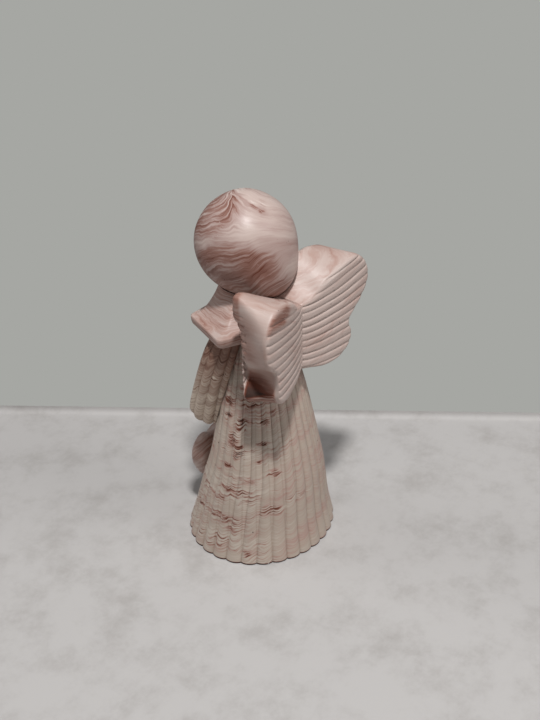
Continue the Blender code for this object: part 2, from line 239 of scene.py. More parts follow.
def fluted_tree():
    """Draws a plain drum out to the gown's outline and carves its flutes."""
    tree, ask, end = node_tree("fluted gown", GOWN_INPUTS, False)
    sockets = {"Vertices": GOWN_AROUND, "Side Segments": GOWN_UP, "Radius": 1.0, "Depth": 1.0}
    drum = Flow(tree).add("GeometryNodeMeshCylinder", {"fill_type": "TRIANGLE_FAN"}, sockets)
    x, y, z = drum.add("GeometryNodeInputPosition").split()
    rise = (z + 0.5).at_least(0.0) ** GOWN_ROW_POWER
    height = rise * GOWN_HEIGHT
    angle = drum.math("ARCTAN2", y, x)
    out = drum.math("SQRT", x * x + y * y)

    widest = GOWN_SECTIONS[0][1]
    curve = drum.add("ShaderNodeFloatCurve", None, {"Value": rise})
    radius = trace(curve, [(s[0], s[1]) for s in GOWN_SECTIONS], GOWN_HEIGHT, widest)
    lean = max(s[2] for s in GOWN_SECTIONS)
    curve = drum.add("ShaderNodeFloatCurve", None, {"Value": rise})
    shift = trace(curve, [(s[0], s[2]) for s in GOWN_SECTIONS], GOWN_HEIGHT, lean)

    hand = drum.grain(x, y, rise, *WANDER_GRAIN) - 0.5
    press = drum.grain(x, y, rise, *PRESS_GRAIN, 2.0) - 0.5
    crest = abs(drum.math("COSINE", angle * ask["Flutes"] * 0.5))
    flute = 1.0 - crest
    fade = FLUTE_LEAST + radius * ((1.0 - FLUTE_LEAST) / widest)
    carve = flute * ask["Flute depth"] * fade * (1.0 + press * ask["Unevenness"])
    groove = (flute ** CREASE_POWER) * ask["Groove depth"] * fade
    low = (1.0 - height / ask["Hem round"]).at_least(0.0)
    hem = (1.0 - drum.math("SQRT", 1.0 - low * low)) * ask["Hem round"]
    oval = 1.0 + drum.math("COSINE", angle * 2.0) * ask["Oval"]
    reach = (radius * oval - carve - groove - hem) * out
    turned = angle + hand * ask["Wander"]
    east = reach * drum.math("COSINE", turned)
    north = shift + reach * drum.math("SINE", turned)
    place = drum.join(east * MM, north * MM, height * MM)

    shaped = drum.add("GeometryNodeSetPosition", None, {"Geometry": drum, "Position": place})
    finished(shaped, "flute", flute, ask["Material"], end)
    return tree


def paint(red, green, blue):
    """A linear colour from the usual 0 to 255 values."""
    parts = []
    for value in (red, green, blue):
        share = value / 255.0
        parts.append(share / 12.92 if share <= 0.04045 else ((share + 0.055) / 1.055) ** 2.4)
    return (*parts, 1.0)


BONE = (paint(190, 178, 166), paint(178, 163, 150))
BLUSH = (paint(205, 190, 183), paint(190, 171, 163))
VEINS = (paint(174, 145, 135), paint(142, 101, 88), paint(104, 54, 38))
# The darkest brown: the darkest veins and the pinholes, and through the tone also the painted contact shadow
# at the hem and the painted shade in the wing hollows.
DARKEST_BROWN = paint(56, 35, 27)
# Colour of dirt and painted shade in the bottoms of flutes and grooves.
GRIME_AND_SHADE = paint(118, 93, 78)
PALE_STEP = (0.36, 0.48)
VEIN_STEPS = ((0.48, 0.62), (0.6, 0.74), (0.72, 0.88))
DARKEST_STEP = (0.95, 1.25)
PASTE_SHINE = 0.35
COAT_ROUGH = 0.3
BEND_SCALE = 0.075
BEND_HEIGHT = 4.5
STIR_SCALE = 0.33
WIDE_GRAIN = (0.055, 0.2)
WIDE_DETAIL = 3.0
THIN_APART = 23.0
THIN_DETAIL = 6.0
THIN_ROUGH = 0.62
CHANCE_SCALE = 0.5
BLOT_BROKEN = (0.32, 0.56)
BLOT_FADE = (1.0, 0.2)
BLOT_DARKENS = 0.045
PIT_SCALE = 0.42
PIT_SIZE = (0.11, 0.06)
PIT_CHANCE = (0.6, 0.66)
PIT_DARK = 0.8
SPECK_SCALE = 0.7
SPECK_SIZE = (0.12, 0.07)
SPECK_CHANCE = (0.42, 0.36)
SPECK_PALE = 0.5
SAND_SCALE = 3.2
SAND_DETAIL = 3.0
SAND_ROUGH = 0.6
GRIME_AND_SHADE_POWER = 8.0
SAND_DULL = 0.16
TONE_DULL = 0.08
PIT_DULL = 0.3
DARK_DULL = 0.25
DARK_STEP = (0.75, 1.0)
SAND_RELIEF = 0.25
PIT_RELIEF = 0.6
VEIN_RELIEF = 0.1
VEIN_SUNK = (0.6, 0.85)
BUMP_STRENGTH = 0.35
BUMP_DEPTH = 0.12


def undercoat(name):
    """A new material; gives it, its shader's inputs, a start for its nodes and the place on the object."""
    material = bpy.data.materials.new(name)
    material.use_nodes = True
    start = Flow(material.node_tree)
    place = start.add("ShaderNodeTexCoord", None, None, "Object")
    return material, material.node_tree.nodes["Principled BSDF"].inputs, start, place


def scattered(start, spot, scale, size):
    """Small round spots, scattered without order."""
    apart = start.add("ShaderNodeTexVoronoi", None, {"Vector": spot, "Scale": scale}, "Distance")
    return apart.step(*size)


def mark_of(start, name):
    """A mark that was stored on the mesh, such as the depth of a flute."""
    return start.add("ShaderNodeAttribute", {"attribute_name": name}, None, "Fac")


def marbled(
    name, layering, pale, veins=VEINS, level=0.0, broad=0.4, fine=0.6, pace=1.5, run=0.09, rough=0.42,
    blots=(), crease="", grime_and_shade=0.2, polish=0.0, stir=1.3,
):
    """Marbled stone paste: a pale body with darker layers, some broad and some in clusters of thin lines.

    layering gives the layer that a place lies in, how much darker it is and how busy with lines."""
    material, shader, start, place = undercoat(name)
    shader["Specular IOR Level"].default_value = PASTE_SHINE
    shader["Coat Weight"].default_value = polish
    shader["Coat Roughness"].default_value = COAT_ROUGH
    spot = place.scaled(1.0 / MM)
    x, y, z = spot.split()
    layer, bias, busy = layering(start, x, y, z)
    bend = (start.cloud(spot, BEND_SCALE) - 0.5) * BEND_HEIGHT + (start.cloud(spot, STIR_SCALE) - 0.5) * stir
    layer = layer + bend
    wide = start.grain(x, y, layer, *WIDE_GRAIN, WIDE_DETAIL)
    drawn = start.join(x * run + THIN_APART, y * run, layer * pace)
    thin = start.cloud(drawn, 1.0, THIN_DETAIL, THIN_ROUGH)
    chance = start.cloud(spot, CHANCE_SCALE, 1.0)
    broken = chance.step(*BLOT_BROKEN) * 0.9 + 0.3
    for centre, reach, force in blots:
        offset = start.add("ShaderNodeVectorMath", {"operation": "SUBTRACT"}, {0: spot, 1: centre})
        offset = start.add("ShaderNodeVectorMath", {"operation": "DIVIDE"}, {0: offset, 1: reach})
        away = start.add("ShaderNodeVectorMath", {"operation": "LENGTH"}, {0: offset}, "Value")
        inside = away.step(*BLOT_FADE) * broken
        busy = busy + inside * force
        bias = bias + inside * (force * BLOT_DARKENS)
    tone = (wide - 0.5) * broad + (thin - 0.5) * fine * busy + bias + (0.5 + level)

    pit = scattered(start, spot, PIT_SCALE, PIT_SIZE) * chance.step(*PIT_CHANCE)
    speck = scattered(start, spot, SPECK_SCALE, SPECK_SIZE) * chance.step(*SPECK_CHANCE)
    sand = start.cloud(spot, SAND_SCALE, SAND_DETAIL, SAND_ROUGH)

    colour = start.mix(tone.step(*PALE_STEP), *pale)
    for vein, reach in zip(veins, VEIN_STEPS):
        colour = start.mix(tone.step(*reach), colour, vein)
    colour = start.mix(tone.step(*DARKEST_STEP), colour, DARKEST_BROWN)
    colour = start.mix(pit * PIT_DARK, colour, DARKEST_BROWN)
    colour = start.mix(speck * SPECK_PALE, colour, pale[0])
    # Flutes and grooves are darkened by their stored mark: partly dirt, partly painted shade in the creases.
    if crease:
        worn = mark_of(start, crease).at_least(0.0) ** GRIME_AND_SHADE_POWER
        colour = start.mix(worn * grime_and_shade, colour, GRIME_AND_SHADE)
    colour.into(shader["Base Color"])
    dull = rough + (sand - 0.5) * SAND_DULL + tone * TONE_DULL - 0.5 * TONE_DULL
    dull = dull + pit * PIT_DULL + tone.step(*DARK_STEP) * DARK_DULL
    dull.into(shader["Roughness"])
    relief = sand * SAND_RELIEF - pit * PIT_RELIEF - tone.step(*VEIN_SUNK) * VEIN_RELIEF
    sockets = {"Strength": BUMP_STRENGTH, "Distance": BUMP_DEPTH * MM, "Height": relief}
    start.add("ShaderNodeBump", None, sockets, "Normal").into(shader["Normal"])
    return material


ACROSS = (-0.559, 0.829)
GOWN_DIP = 0.6
GOWN_SLANT = 0.34
SLANT_FROM = -6.0
GOWN_PATCH = 0.12
GOWN_WAVER = 4.0
BAND_SIDE = (10.0, 3.0)
BAND_PATCH = (0.3, 0.5)
BAND_TORN = (0.36, 0.6)
# Heights over which the painted contact shadow at the foot of the hem fades out.
HEM_CONTACT_SHADOW = (0.6, 0.25)
# Layer, half its width and how strong its lines are.
GOWN_BANDS = (
    (6.0, 2.0, 2.0), (13.0, 2.6, 2.4), (19.6, 2.6, 2.6), (27.8, 1.2, 2.0), (31.5, 3.0, 1.4),
    (40.0, 3.0, 1.6),
)


def gown_layers(start, x, y, z):
    """Layers that dip into every flute and fall to one side, with torn bands of stronger lines; the foot of
    the hem gets a painted contact shadow.
    """
    across = x * ACROSS[0] + y * ACROSS[1]
    layer = z - mark_of(start, "flute") * GOWN_DIP - across.at_least(SLANT_FROM) * GOWN_SLANT
    spot = start.join(x, y, z)
    patch = start.cloud(spot, GOWN_PATCH)
    busy = patch.step(0.4, 0.6) * across.step(9.0, 1.0) * 1.5 + 0.75
    torn = start.cloud(spot, CHANCE_SCALE, 1.0).step(*BAND_TORN) * 0.85 + 0.25
    wavering = layer + (patch - 0.5) * GOWN_WAVER
    for height, half, force in GOWN_BANDS:
        band = abs(wavering - height).step(half, 0.0) * across.step(*BAND_SIDE)
        busy = busy + band * patch.step(*BAND_PATCH) * torn * force
    # The first term paints a contact shadow along the foot of the hem, in the darkest brown.
    return layer, z.step(*HEM_CONTACT_SHADOW) + across.step(3.0, 12.0) * 0.03, busy


# Centre, reach each way and how strong the mark is.
GOWN_BLOTS = (
    ((10.9, -1.4, 43.0), (3.0, 3.0, 1.4), 5.2), ((11.6, -1.2, 39.6), (1.8, 1.8, 1.0), 6.5),
    ((12.3, 2.5, 38.0), (2.2, 2.2, 2.8), 8.0), ((10.0, 7.8, 39.7), (2.6, 2.6, 1.6), 5.2),
    ((7.6, 9.7, 41.7), (2.6, 2.6, 2.0), 3.4), ((10.6, 4.5, 43.8), (3.4, 3.4, 1.8), 4.4),
    ((13.2, 1.0, 34.1), (2.4, 2.4, 2.6), 5.2), ((13.3, 2.0, 31.8), (6.0, 6.0, 1.4), 3.9),
    ((11.1, 8.5, 33.9), (2.4, 2.4, 0.9), 9.1), ((14.0, 2.9, 29.8), (2.4, 2.4, 2.0), 11.0),
    ((14.6, -0.2, 26.4), (2.0, 2.0, 1.2), 3.6), ((12.2, 8.8, 28.8), (2.2, 2.2, 0.9), 4.2),
    ((10.8, 11.4, 25.6), (2.6, 2.6, 1.8), 3.0), ((15.4, 3.0, 20.6), (8.0, 8.0, 2.0), 2.4),
    ((12.9, 11.8, 15.4), (4.2, 4.2, 2.4), 3.6), ((17.7, -0.6, 11.6), (6.0, 6.0, 2.2), 2.6),
    ((18.8, 0.6, 6.4), (6.0, 6.0, 1.8), 2.2), ((18.6, 7.2, 2.8), (2.4, 2.4, 1.2), 2.6),
    ((6.0, 15.9, 17.4), (5.0, 5.0, 1.8), 2.2), ((14.4, 5.5, 23.4), (7.0, 7.0, 1.6), 2.4),
    ((11.7, 4.6, 39.2), (3.0, 3.0, 1.0), 4.0),
)
gown = new_piece("fluted_gown")
gown_stone = marbled(
    "marbled gown", gown_layers, BONE, level=-0.01, fine=0.68, pace=2.6, run=0.17, rough=0.5,
    blots=GOWN_BLOTS, crease="flute", grime_and_shade=0.3, stir=1.2,
)
grown(gown, fluted_tree(), GOWN_INPUTS, gown_stone)
gown.data.set_sharp_from_angle(angle=SHARP_EDGE)
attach(gown, "root")
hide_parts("gown")

# Head: a polished ball, fuller at the nape and with a small rise at the crown, left without a face.
# It is the same marbled paste, its layers folded up to the crown, polished smoother than the gown.
# It sits in the collar's hollow on the neck peg.
HEAD_CENTRE = Vector((0.0, -2.9, 82.2))
HEAD_RADIUS = 12.45
HEAD_DETAIL = 7
CROWN_RISE = 0.35
CROWN_POWER = 12.0
HEAD_UNEVEN = 0.07
HEAD_UNEVEN_SCALE = 2.3
HEAD_UNEVEN_MEAN = 0.35
NAPE_WAY = Vector((0.0, 0.66, -0.75)).normalized()
NAPE_RISE = 2.9
NAPE_POWER = 5.0


def head_point(way, gap=0.0):
    """The place on the head in a direction from its centre, moved out by a gap."""
    reach = HEAD_RADIUS + gap + NAPE_RISE * max(0.0, way.dot(NAPE_WAY)) ** NAPE_POWER
    rise = CROWN_RISE * max(0.0, way.z) ** CROWN_POWER
    return HEAD_CENTRE + way * reach + Vector((0.0, 0.0, rise))


STACKED = (-0.414, -0.28, 0.866)
BEHIND = (0.829, 0.559)
STRAY_SCALE = 0.13
STRAND_SIDE = 2.5
STRAND_WANDER = 4.0
STRAND_FADES = (0.5, -0.2)
STRAND_UP = (-1.0, 12.5)
STRAND_FOLD = 6.0
DUSK_WANDER = 8.0
DUSK_SLANT = 0.7
DUSK_STEP = (0.5, -4.4)


def head_layers(start, x, y, z):
    """Layers folded up to the crown in strands; the lower half and one shoulder are darker."""
    back = y - HEAD_CENTRE.y
    across = x * ACROSS[0] + back * ACROSS[1]
    up = x * STACKED[0] + back * STACKED[1] + (z - HEAD_CENTRE.z) * STACKED[2]
    behind = x * BEHIND[0] + back * BEHIND[1]
    stray = start.cloud(start.join(x, y, z), STRAY_SCALE) - 0.5
    aside = across + STRAND_SIDE + stray * STRAND_WANDER
    left = start.math("EXPONENT", aside.at_most(0.0) * STRAND_FADES[0])
    right = start.math("EXPONENT", aside.at_least(0.0) * STRAND_FADES[1])
    strands = left * right * up.step(*STRAND_UP)
    far = (across - 1.0).at_least(0.0)
    slope = far * up.step(2.0, -4.0) * 0.8
    dusk = (up + stray * DUSK_WANDER + far * DUSK_SLANT).step(*DUSK_STEP)
    shoulder = across.step(2.0, -6.0) * up.step(-2.0, 3.0) * (behind.step(-8.0, -1.0) * 0.7 + 0.3)
    bias = dusk * (0.22 - across.step(2.0, 9.0) * 0.1) + stray * dusk * 0.25 + strands * 0.1 + shoulder * 0.19
    bias = bias + across.step(-3.0, 5.0) * up.step(10.0, 4.0) * 0.05
    busy = dusk * 0.65 + strands * 0.9 + shoulder + 0.3
    return up - strands * STRAND_FOLD - slope, bias, busy


ROSE = (paint(170, 146, 139), paint(140, 103, 92), paint(103, 55, 41))
HEAD_BLOTS = (((1.8, 1.6, 93.0), (2.6, 3.4, 1.8), 1.6), ((2.9, 4.3, 92.0), (1.7, 2.0, 1.3), 1.8))
bm = bmesh.new()
bmesh.ops.create_icosphere(bm, subdivisions=HEAD_DETAIL, radius=HEAD_RADIUS)
for vert in bm.verts:
    way = vert.co.normalized()
    bump = noise.noise(way * HEAD_UNEVEN_SCALE) - HEAD_UNEVEN_MEAN
    vert.co = head_point(way, HEAD_UNEVEN * bump)
head = new_piece("polished_head", bm)
head_stone = marbled(
    "marbled head", head_layers, BLUSH, ROSE, fine=0.75, pace=1.7, run=0.12, blots=HEAD_BLOTS, polish=0.1,
)
head.data.materials.append(head_stone)
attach(head, "root")
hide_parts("head")

# Collar: a wide pointed collar that sweeps up in a hollow curve from its thick rim to the neck.
# It is cast in a rosier paste whose layers show as lines along the rim.
# It lies on the gown's top, held by the neck peg.
COLLAR_PLAN = ((0.0, 3.6), (11.5, 4.0), (17.0, 0.3), (9.5, -13.8), (0.0, -13.2))
COLLAR_CENTRE = Vector((0.0, -2.9))
COLLAR_AROUND = 360
COLLAR_NECK_RADIUS = 6.8
COLLAR_NECK_Z = 71.15
COLLAR_RIM_Z = 63.6
# Height and how far inside the plan outline, from the underside round the rim.
COLLAR_EDGE = (
    (60.8, 4.0), (60.8, 1.6), (61.0, 0.8), (61.4, 0.35), (62.2, 0.12), (63.1, 0.02), (63.45, 0.1),
    (63.6, 0.35),
)
COLLAR_EASE = 3
COLLAR_STEPS = 44
COLLAR_SWEEP = 2.0
COLLAR_LIP = 0.6
COLLAR_LINES = 1.7
SEAT_GAP = 0.15
SEAT_TRIES = 14
SEAT_RINGS = (6.2, 5.0, 3.5, 2.0, 0.8)
SIDE_ON = 1e-9
LINE_END = 1e-4


def even_turns(count):
    """Angles of even steps round a full turn."""
    return [math.tau * i / count for i in range(count)]


def collar_reach():
    """Distance from the collar's centre to its plan outline in each direction."""
    half = [Vector(p) for p in COLLAR_PLAN]
    loop = half + [Vector((-p.x, p.y)) for p in reversed(half[1:-1])]
    reaches = []
    for angle in even_turns(COLLAR_AROUND):
        ray = Vector((math.cos(angle), math.sin(angle)))
        near = 0.0
        for p, q in zip(loop, loop[1:] + loop[:1]):
            normal = Vector((q.y - p.y, p.x - q.x))
            facing = normal.dot(ray)
            if abs(facing) > SIDE_ON:
                t = normal.dot(p - COLLAR_CENTRE) / facing
                spot = COLLAR_CENTRE + ray * t
                if t > 0.0 and (spot - p).dot(spot - q) <= LINE_END:
                    near = max(near, t)
        reaches.append((ray, near))
    return reaches


def eased(reaches, width):
    """Averages the outline over a short arc, so that its corners are rounded."""
    count = len(reaches)
    return [
        (reaches[i][0], sum(reaches[(i + k) % count][1] for k in range(-width, width + 1)) / (2 * width + 1))
        for i in range(count)
    ]


def hooped(bm, rings):
    """Joins rings of points with bands of faces; gives the rings of corners."""
    rows = [[bm.verts.new(point) for point in ring] for ring in rings]
    count = len(rows[0])
    for low, high in zip(rows[:-1], rows[1:]):
        for i in range(count):
            j = (i + 1) % count
            bm.faces.new((low[i], low[j], high[j], high[i]))
    return rows


def skin(bm, rings):
    """Joins rings of points into a closed skin, with a point in the middle of each end."""
    rows = hooped(bm, rings)
    count = len(rows[0])
    for row in (rows[0], rows[-1]):
        middle = bm.verts.new(sum((v.co for v in row), Vector()) / count)
        for i in range(count):
            bm.faces.new((row[i], row[(i + 1) % count], middle))


def collar_ring(outline, blend, inset, z):
    """A ring between the outline, drawn in by an inset, and the round neck."""
    ring = []
    for ray, reach in outline:
        r = (reach - inset) * (1.0 - blend) + COLLAR_NECK_RADIUS * blend
        spot = COLLAR_CENTRE + ray * r
        ring.append(Vector((spot.x, spot.y, z)))
    return ring


def in_head(point):
    away = point - HEAD_CENTRE
    return away.length < (head_point(away.normalized(), SEAT_GAP) - HEAD_CENTRE).length


def under_head(point):
    """Lowers a point that is inside the head straight down to just below it."""
    if not in_head(point):
        return point
    low = HEAD_CENTRE.z - 2.0 * HEAD_RADIUS
    high = point.z
    for _ in range(SEAT_TRIES):
        middle = (low + high) / 2.0
        if in_head(Vector((point.x, point.y, middle))):
            high = middle
        else:
            low = middle
    return Vector((point.x, point.y, low))


def collar_layers(start, x, y, z):
    return z * COLLAR_LINES, 0.0, 1.1


outline = eased(collar_reach(), COLLAR_EASE)
rings = [collar_ring(outline, 0.0, inset, z) for z, inset in COLLAR_EDGE]
for step in range(1, COLLAR_STEPS + 1):
    t = step / COLLAR_STEPS
    lift = COLLAR_RIM_Z + (COLLAR_NECK_Z - COLLAR_RIM_Z) * t ** COLLAR_SWEEP
    rings.append(collar_ring(outline, t, COLLAR_LIP * (1.0 - t), lift))
for r in SEAT_RINGS:
    rings.append([Vector((ray.x * r, COLLAR_CENTRE.y + ray.y * r, COLLAR_NECK_Z)) for ray, _ in outline])
rings = [[under_head(point) for point in ring] for ring in rings]
bm = bmesh.new()
skin(bm, rings)
collar = new_piece("pointed_collar", bm)
collar.data.set_sharp_from_angle(angle=SHARP_EDGE)
collar.data.materials.append(marbled("marbled collar", collar_layers, BLUSH, level=0.1, broad=0.3))
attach(collar, "root")
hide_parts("collar")

# Wings: two thick butterfly-shaped plates that meet at the spine, not quite alike, with slanting grooves.
# They are cast in the pale marbled paste; the outer band is smooth, with a hollow low down in it.
# Each wing is cut to fit round the gown's back and under the head, and sits on a peg into the gown.
SIDES = (("left", 1.0), ("right", -1.0))
# Each face in plan: its place at the spine, its slope, and the back's bend or the front's top slope.
WING_BACK = (13.2, 0.40, -0.0075)
WING_FRONT = (4.3, 0.20, 0.12)
WING_FRONT_BLEND = (70.0, 77.0)
WING_THICK = 9.5
WING_BACK_ROUND = 1.1
WING_FRONT_ROUND = 1.5
WING_ROUND_STEPS = 4
# Outlines of the back and front faces, from the spine's top round to its foot.
WING_BACK_LINE = {
    "left": (
        (0.0, 69.2), (3.5, 70.6), (7.1, 73.6), (12.2, 75.9), (17.4, 77.0), (20.0, 76.0), (22.0, 73.8),
        (22.9, 70.8), (22.8, 67.6), (22.2, 64.6), (20.4, 62.2), (18.7, 60.6), (18.3, 58.2), (17.9, 55.6),
        (17.2, 52.9), (15.6, 50.8), (11.3, 49.9), (6.9, 50.3), (2.8, 51.1), (0.4, 51.5), (0.0, 51.5),
    ),
    "right": (
        (0.0, 69.2), (3.5, 70.6), (7.1, 73.6), (12.2, 75.9), (17.2, 76.9), (20.2, 75.6), (22.5, 73.2),
        (23.6, 70.2), (23.2, 67.4), (21.5, 64.9), (19.0, 62.4), (16.6, 60.3), (16.1, 58.6), (17.0, 56.6),
        (16.9, 54.4), (15.6, 52.0), (12.4, 50.0), (7.4, 49.5), (2.8, 50.6), (0.4, 51.1), (0.0, 51.1),
    ),
}
WING_FRONT_TOP = {
    "left": ((0.0, 69.6), (4.0, 71.1), (8.0, 73.3), (12.0, 75.7), (15.6, 77.8), (18.3, 78.9), (20.2, 78.0)),
    "right": ((0.0, 70.2), (4.0, 74.6), (8.0, 77.8), (11.0, 78.6), (14.2, 78.2), (17.2, 77.2), (19.3, 75.4)),
}
WING_FRONT_REST = (
    (20.1, 72.8), (19.6, 69.0), (19.3, 65.4), (18.9, 62.6), (18.0, 60.4), (17.2, 58.4), (17.0, 56.4),
    (18.6, 54.2), (19.3, 52.2), (17.6, 50.1), (12.4, 49.4), (7.0, 50.0), (2.8, 50.9), (0.0, 51.1),
)
SWELL_AT = (16.6, 73.2)
SWELL_REACH = (3.2, 2.6)
SWELL = 1.9
POCKET_Z = 56.4
POCKET_TILT = 3.0
POCKET_HALF = 3.2
POCKET_DEPTH = 1.9
POCKET_FROM = 10.0
POCKET_EASE = 4.0
POCKET_POWERS = (2.2, 2.6)
WING_VOXEL = 0.19
WING_SMOOTHING = 14
WING_SOFTNESS = 0.5
LINE_STEPS = 6
SPINE_GAP = 0.03
FIT_GAP = 0.06
CORE_HEIGHTS = (40.0, 44.0, 48.0, 52.0, 56.0, 60.5, 60.6)
CORE_AROUND = 96
CORE_DETAIL = 6
GROOVE_INPUTS = {
    "Lowest": 53.0,
    "Pitch": 1.85,
    "Rise": 0.02,
    "Fan": 0.022,
    "Spine rise": 0.7,
    "Depth": 0.44,
    "Unevenness": 1.1,
}
GROOVE_COUNT = {"left": 9.3, "right": 10.6}
GROOVE_FIRST = (-1.5, -1.2)
GROOVE_POWER = 2.0
CARVE_GRAIN = (0.12, 0.12)
CARVE_SHAKE = 0.35
SWAY_GRAIN = (0.015, 0.33)
BITE_GRAIN = (0.06, 0.7)
SPINE_FADE = -0.45
BACK_FACING = (0.5, 0.88)
FRONT_FACING = (-0.12, -0.45)
NOTCH_BELOW = (62.0, 60.0)
NOTCH_REACH = (1.6, 3.2)


def flowing(points, steps):
    """Points along a smooth curve through the given ones."""
    path = [Vector(p) for p in points]
    path = [path[0] * 2.0 - path[1]] + path + [path[-1] * 2.0 - path[-2]]
    curve = []
    for a, b, c, d in zip(path, path[1:], path[2:], path[3:]):
        for i in range(steps):
            t = i / steps
            curve.append(
                0.5 * ((2.0 * b) + (c - a) * t + (2.0 * a - 5.0 * b + 4.0 * c - d) * t * t
                       + (3.0 * b - a - 3.0 * c + d) * t ** 3)
            )
    curve.append(path[-2].copy())
    return curve


def share_of(value):
    """A value kept between 0 and 1."""
    return max(0.0, min(1.0, value))


def drawn_in(line, amount):
    """An open line moved inwards; its two ends on the spine move straight down and up."""
    moved = []
    last = len(line) - 1
    for i, point in enumerate(line):
        side = (line[min(i + 1, last)] - line[max(i - 1, 0)]).normalized()
        inward = Vector((side.y, -side.x))
        if i in (0, last):
            inward = Vector((0.0, -1.0 if i == 0 else 1.0))
        moved.append(point + inward * amount)
    return moved


def gown_at(z):
    """Mean radius and backward shift of the gown at a height."""
    z = max(0.0, min(GOWN_HEIGHT, z))
    for (z0, r0, y0), (z1, r1, y1) in zip(GOWN_SECTIONS, GOWN_SECTIONS[1:]):
        if z <= z1:
            t = (z - z0) / (z1 - z0)
            return r0 + (r1 - r0) * t, y0 + (y1 - y0) * t


def gown_core():
    """A plain solid a little larger than the gown's upper half, for cutting the wings to fit it."""
    rings = []
    for z in CORE_HEIGHTS:
        radius, shift = gown_at(z)
        ring = []
        for angle in even_turns(CORE_AROUND):
            r = radius * (1.0 + GOWN_OVAL * math.cos(2.0 * angle)) + FIT_GAP
            ring.append(Vector((r * math.cos(angle), shift + r * math.sin(angle), z)))
        rings.append(ring)
    bm = bmesh.new()
    skin(bm, rings)
    return new_piece("gown_core", bm)


def head_core():
    """A plain solid a little larger than the head, for the same."""
    bm = bmesh.new()
    bmesh.ops.create_icosphere(bm, subdivisions=CORE_DETAIL, radius=HEAD_RADIUS)
    for vert in bm.verts:
        vert.co = head_point(vert.co.normalized(), SEAT_GAP)
    return new_piece("head_core", bm)


def bent(point, side):
    """Takes a place in the flat plate to the wing's plan curve, with the hollow and the swell."""
    s = max(point.x, SPINE_GAP)
    z = point.z
    forward = share_of(point.y / WING_THICK)
    depth = 1.0 - abs(2.0 * forward - 1.0) ** POCKET_POWERS[0]
    outer = share_of((s - POCKET_FROM) / POCKET_EASE)
    middle = POCKET_Z + POCKET_TILT * (0.5 - forward)
    s -= POCKET_DEPTH * depth * outer * math.exp(-abs((z - middle) / POCKET_HALF) ** POCKET_POWERS[1])
    low, high = WING_FRONT_BLEND
    share = share_of((z - low) / (high - low))
    front_y = WING_FRONT[0] + s * (WING_FRONT[1] + (WING_FRONT[2] - WING_FRONT[1]) * share)
    beside = (s - SWELL_AT[0]) / SWELL_REACH[0]
    above = (z - SWELL_AT[1]) / SWELL_REACH[1]
    front_y -= SWELL * math.exp(-beside ** 2 - above ** 2)
    back_y = WING_BACK[0] + WING_BACK[1] * s + WING_BACK[2] * s * s
    return Vector((side * s, back_y + (front_y - back_y) * point.y / WING_THICK, z))


def wing_blank(name, side, back_line, front_line, cutters):
    """A plate between two unlike outlines, remeshed fine, bent to its plan curve and cut to fit."""
    back = flowing(back_line, LINE_STEPS)
    front = flowing(front_line, LINE_STEPS)
    turns = [0.5 * math.pi * k / WING_ROUND_STEPS for k in range(WING_ROUND_STEPS + 1)]
    rounds = [(1.0 - math.sin(a), 1.0 - math.cos(a)) for a in turns]
    rows = [(back, WING_BACK_ROUND * inset, WING_BACK_ROUND * depth) for inset, depth in rounds]
    for inset, depth in reversed(rounds):
        rows.append((front, WING_FRONT_ROUND * inset, WING_THICK - WING_FRONT_ROUND * depth))
    loops = []
    for line, amount, depth in rows:
        loops.append([(max(p.x, 0.0), depth, p.y) for p in drawn_in(line, amount)])
    bm = bmesh.new()
    loops = hooped(bm, loops)
    bm.faces.new(loops[0])
    bm.faces.new(loops[-1])
    bmesh.ops.recalc_face_normals(bm, faces=bm.faces)
    mesh = bpy.data.meshes.new(name)
    bm.to_mesh(mesh)
    bm.free()
    blank = placed(name, mesh)
    remesh = blank.modifiers.new("fine", "REMESH")
    remesh.mode = "VOXEL"
    remesh.voxel_size = WING_VOXEL
    soften = blank.modifiers.new("soft", "SMOOTH")
    soften.factor = WING_SOFTNESS
    soften.iterations = WING_SMOOTHING
    flattened(blank)

    bm = bmesh.new()
    bm.from_mesh(blank.data)
    bpy.data.objects.remove(blank, do_unlink=True)
    for vert in bm.verts:
        vert.co = bent(vert.co, side)
    piece = new_piece(name, bm)
    for cutter in cutters:
        fit = piece.modifiers.new(cutter.name, "BOOLEAN")
        fit.operation = "DIFFERENCE"
        fit.solver = "MANIFOLD"
        fit.object = cutter
    return flattened(piece)


def behind_front(s, y):
    """Distance back from a wing's front face."""
    return y - s * WING_FRONT[1] - WING_FRONT[0]


